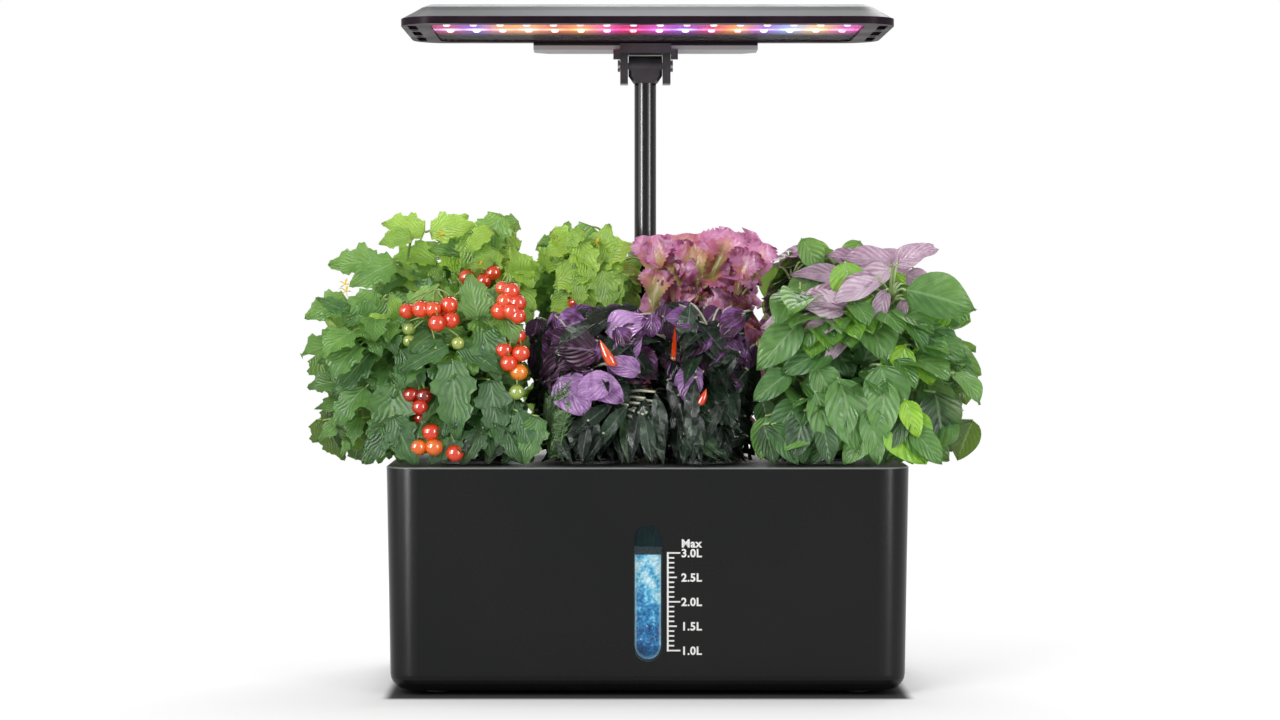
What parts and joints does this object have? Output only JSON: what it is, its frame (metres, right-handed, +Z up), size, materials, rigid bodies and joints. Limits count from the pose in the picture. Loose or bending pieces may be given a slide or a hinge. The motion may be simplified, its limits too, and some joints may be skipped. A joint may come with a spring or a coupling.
{
  "type": "countertop hydroponic growing system",
  "caption": "Countertop hydroponic garden: black water tank with a level window, planting deck with pods and pump, telescopic mast and tilting grow lamp, planted with herbs and tomatoes.",
  "frame": {"origin": "on the floor under the middle of the tank", "axes": "+Z up, +X to the right, -Y the front with the level window"},
  "size_m": [0.3706, 0.16, 0.379],
  "materials": {
    "tank_black": "satin",
    "foot_rubber": "matte",
    "lens_clear": "clear",
    "water": "clear",
    "deck_grey": "satin",
    "board_green": "satin",
    "button_grey": "gloss",
    "steel": "brushed",
    "mast_black": "gloss",
    "hinge_grey": "satin",
    "driver_grey": "satin",
    "lamp_grey": "satin",
    "lamp_black": "gloss",
    "cover_clear": "clear",
    "board_white": "matte",
    "led_white": "gloss",
    "led_red": "gloss",
    "led_blue": "gloss",
    "pump_black": "satin",
    "impeller_white": "satin",
    "foam": "matte",
    "basket_black": "satin",
    "sponge_brown": "matte",
    "leaf_tomato": "satin",
    "leaf_herb": "matte",
    "leaf_chilli": "satin",
    "leaf_basil": "satin",
    "leaf_lettuce": "satin"
  },
  "bodies": {
    "tank": {"tank": "tank_black", "feet": "foot_rubber", "window_lens": "lens_clear", "window_seal": "foot_rubber", "level_water": "water"},
    "deck": {"deck": "deck_grey", "control_cover": "tank_black", "circuit_board": "board_green", "status_lights": "led_white", "dc_inlet": "pump_black", "flap_pin": "steel", "pump_riser": "pump_black", "pump_body": "pump_black", "pump_cover": "pump_black", "pump_filter": "foam", "pump_shaft": "steel", "mast_nut": "tank_black", "mast_lower": "mast_black", "mast_clamp": "tank_black"},
    "fill_flap": {"fill_flap": "deck_grey"},
    "power_button": {"power_button": "button_grey"},
    "mode_button": {"mode_button": "button_grey"},
    "impeller": {"pump_impeller": "impeller_white"},
    "mast": {"mast_upper": "mast_black", "mast_head": "hinge_grey"},
    "lamp": {"hinge_pin": "steel", "hinge_bracket": "hinge_grey", "driver_housing": "driver_grey", "lamp_housing": "lamp_grey", "lamp_bezel": "lamp_black", "lamp_cover": "cover_clear", "led_board": "board_white", "leds_white": "led_white", "leds_red": "led_red", "leds_blue": "led_blue", "lamp_screws": "steel"},
    "pod_1": {"basket_1": "basket_black", "sponge_1": "sponge_brown", "tomato_front": "leaf_tomato"},
    "pod_2": {"basket_2": "basket_black", "sponge_2": "sponge_brown", "herb_plant": "leaf_herb"},
    "pod_3": {"basket_3": "basket_black", "sponge_3": "sponge_brown", "chilli_plant": "leaf_chilli"},
    "pod_4": {"basket_4": "basket_black", "sponge_4": "sponge_brown", "basil_front": "leaf_basil"},
    "pod_5": {"basket_5": "basket_black", "sponge_5": "sponge_brown", "tomato_rear": "leaf_tomato"},
    "pod_6": {"basket_6": "basket_black", "sponge_6": "sponge_brown", "tomato_middle": "leaf_tomato"},
    "pod_7": {"basket_7": "basket_black", "sponge_7": "sponge_brown", "lettuce_plant": "leaf_lettuce"},
    "pod_8": {"basket_8": "basket_black", "sponge_8": "sponge_brown", "basil_rear": "leaf_basil"}
  },
  "joints": [
    {"name": "deck_lift", "type": "slide", "parent": "tank", "child": "deck", "axis": [0, 0, 1], "range_m": [0, 0.13]},
    {"name": "flap_hinge", "type": "hinge", "parent": "deck", "child": "fill_flap", "pos_m": [0.095, 0.0731, 0.1274], "axis": [-1, 0, 0], "range_deg": [0, 100]},
    {"name": "power_press", "type": "slide", "parent": "deck", "child": "power_button", "axis": [0, 0, -1], "range_m": [0, 0.0008], "stiffness_N_per_m": 400, "springref_m": -0.001},
    {"name": "mode_press", "type": "slide", "parent": "deck", "child": "mode_button", "axis": [0, 0, -1], "range_m": [0, 0.0008], "stiffness_N_per_m": 400, "springref_m": -0.001},
    {"name": "impeller_spin", "type": "hinge", "parent": "deck", "child": "impeller", "pos_m": [0, 0, 0.0235], "axis": [0, 1, 0], "continuous": true},
    {"name": "mast_slide", "type": "slide", "parent": "deck", "child": "mast", "axis": [0, 0, 1], "range_m": [-0.085, 0]},
    {"name": "lamp_tilt", "type": "hinge", "parent": "mast", "child": "lamp", "pos_m": [0, 0.0625, 0.3545], "axis": [-1, 0, 0], "range_deg": [0, 90]},
    {"name": "pod_1_lift", "type": "slide", "parent": "deck", "child": "pod_1", "axis": [0, 0, 1], "range_m": [0, 0.06]},
    {"name": "pod_2_lift", "type": "slide", "parent": "deck", "child": "pod_2", "axis": [0, 0, 1], "range_m": [0, 0.06]},
    {"name": "pod_3_lift", "type": "slide", "parent": "deck", "child": "pod_3", "axis": [0, 0, 1], "range_m": [0, 0.06]},
    {"name": "pod_4_lift", "type": "slide", "parent": "deck", "child": "pod_4", "axis": [0, 0, 1], "range_m": [0, 0.06]},
    {"name": "pod_5_lift", "type": "slide", "parent": "deck", "child": "pod_5", "axis": [0, 0, 1], "range_m": [0, 0.06]},
    {"name": "pod_6_lift", "type": "slide", "parent": "deck", "child": "pod_6", "axis": [0, 0, 1], "range_m": [0, 0.06]},
    {"name": "pod_7_lift", "type": "slide", "parent": "deck", "child": "pod_7", "axis": [0, 0, 1], "range_m": [0, 0.06]},
    {"name": "pod_8_lift", "type": "slide", "parent": "deck", "child": "pod_8", "axis": [0, 0, 1], "range_m": [0, 0.06]}
  ]
}
